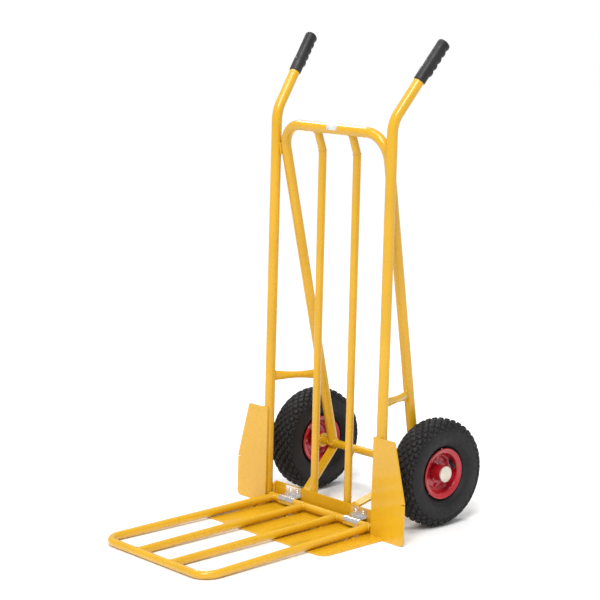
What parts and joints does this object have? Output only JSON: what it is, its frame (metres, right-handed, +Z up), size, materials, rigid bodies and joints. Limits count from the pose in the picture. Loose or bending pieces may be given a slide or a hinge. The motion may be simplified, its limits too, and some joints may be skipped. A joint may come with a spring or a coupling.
{
  "type": "hand truck",
  "caption": "Upright tubular hand truck with pneumatic wheels, bent-back handles, a short toe plate, wheel guards and a folding toe frame that hinges up against the uprights.",
  "frame": {"origin": "on the underside of the toe plate, midway between the uprights and just behind their front faces", "axes": "+Z up, -Y forward over the toe plate, +X to the side (the right-hand wheel seen from the front)"},
  "size_m": [0.596, 0.8225, 1.1561],
  "materials": {
    "yellow_paint": "gloss",
    "red_paint": "gloss",
    "zinc_plate": "satin",
    "bolt_steel": "satin",
    "bearing_steel": "satin",
    "grip_rubber": "matte",
    "tyre_rubber": "matte",
    "tube_rubber": "matte",
    "valve_rubber": "satin",
    "cap_cream": "gloss",
    "label_white": "satin"
  },
  "bodies": {
    "frame": {"rear_bow": "yellow_paint", "toe_plate": "yellow_paint", "axle": "yellow_paint", "axle_collars": "yellow_paint", "axle_washers": "zinc_plate", "hinge_rivets": "zinc_plate", "label": "label_white", "left_upright": "yellow_paint", "left_inner_rail": "yellow_paint", "left_wheel_guard": "yellow_paint", "left_stay": "yellow_paint", "left_axle_brace": "yellow_paint", "left_grip": "grip_rubber", "left_hinge_saddle": "zinc_plate", "left_hub_cap": "cap_cream", "right_upright": "yellow_paint", "right_inner_rail": "yellow_paint", "right_wheel_guard": "yellow_paint", "right_stay": "yellow_paint", "right_axle_brace": "yellow_paint", "right_grip": "grip_rubber", "right_hinge_saddle": "zinc_plate", "right_hub_cap": "cap_cream"},
    "left_wheel": {"left_tyre": "tyre_rubber", "left_inner_tube": "tube_rubber", "left_rim_outer_half": "red_paint", "left_rim_inner_half": "red_paint", "left_rim_bolts": "bolt_steel", "left_hub": "red_paint", "left_bearings": "bearing_steel", "left_valve": "valve_rubber"},
    "toe_frame": {"left_folding_rail": "yellow_paint", "right_folding_rail": "yellow_paint", "folding_loop": "yellow_paint", "pivot_tube": "yellow_paint"},
    "right_wheel": {"right_tyre": "tyre_rubber", "right_inner_tube": "tube_rubber", "right_rim_outer_half": "red_paint", "right_rim_inner_half": "red_paint", "right_rim_bolts": "bolt_steel", "right_hub": "red_paint", "right_bearings": "bearing_steel", "right_valve": "valve_rubber"}
  },
  "joints": [
    {"name": "toe_frame_fold", "type": "hinge", "parent": "frame", "child": "toe_frame", "pos_m": [0, 0.005, 0.018], "axis": [-1, 0, 0], "range_deg": [0, 91.4]},
    {"name": "left_wheel_spin", "type": "hinge", "parent": "frame", "child": "left_wheel", "pos_m": [-0.216, 0.181, 0.13], "axis": [1, 0, 0], "continuous": true},
    {"name": "right_wheel_spin", "type": "hinge", "parent": "frame", "child": "right_wheel", "pos_m": [0.216, 0.181, 0.13], "axis": [1, 0, 0], "continuous": true}
  ]
}
